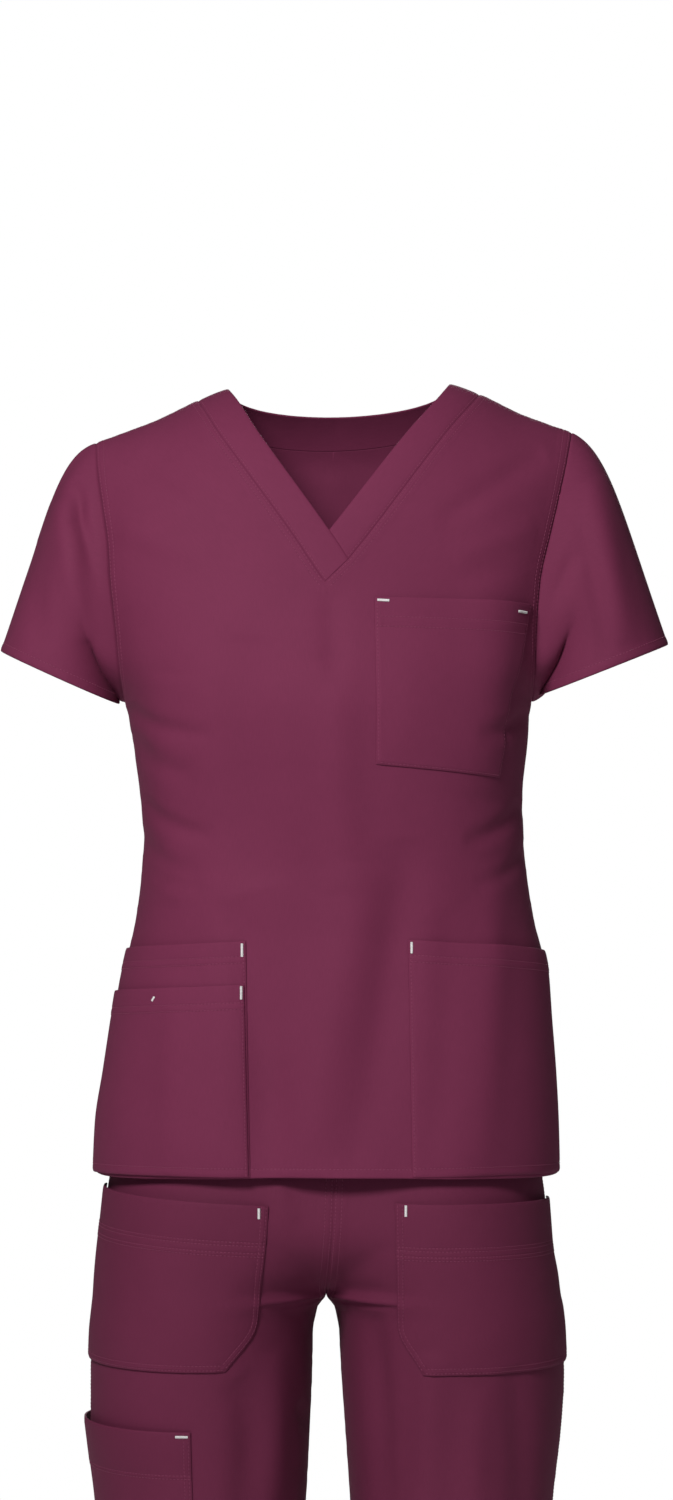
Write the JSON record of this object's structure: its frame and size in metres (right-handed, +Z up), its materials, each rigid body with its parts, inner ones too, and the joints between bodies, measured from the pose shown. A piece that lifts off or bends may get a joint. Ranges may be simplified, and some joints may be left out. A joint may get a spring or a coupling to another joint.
{
  "type": "medical scrubs set",
  "caption": "Worn, hollow medical scrubs: a V-neck short-sleeved tunic with patch pockets over straight trousers.",
  "frame": {"origin": "midway between the shoulders, level with the neck points, where the wearer's shoulders hold the tunic", "axes": "+Z up, the front of the garment faces -Y, the wearer's left is +X"},
  "size_m": [0.52, 0.2554, 1.4789],
  "materials": {
    "tunic_poplin": "matte stretch poplin with a soft sheen, burgundy",
    "trouser_poplin": "matte stretch poplin with a soft sheen, burgundy"
  },
  "bodies": {
    "root": {"top_front": "tunic_poplin", "top_back": "tunic_poplin", "sleeve_right": "tunic_poplin", "sleeve_left": "tunic_poplin", "neckband_right": "tunic_poplin", "neckband_left": "tunic_poplin", "neckband_back": "tunic_poplin", "chest_pocket": "tunic_poplin", "lower_pocket_right": "tunic_poplin", "lower_pocket_right_outer": "tunic_poplin", "lower_pocket_left": "tunic_poplin", "trouser_front_right": "trouser_poplin", "trouser_front_left": "trouser_poplin", "trouser_back_right": "trouser_poplin", "trouser_back_left": "trouser_poplin", "waistband": "trouser_poplin", "front_pocket_right": "trouser_poplin", "front_pocket_left": "trouser_poplin", "cargo_pocket_right": "trouser_poplin"}
  },
  "joints": []
}
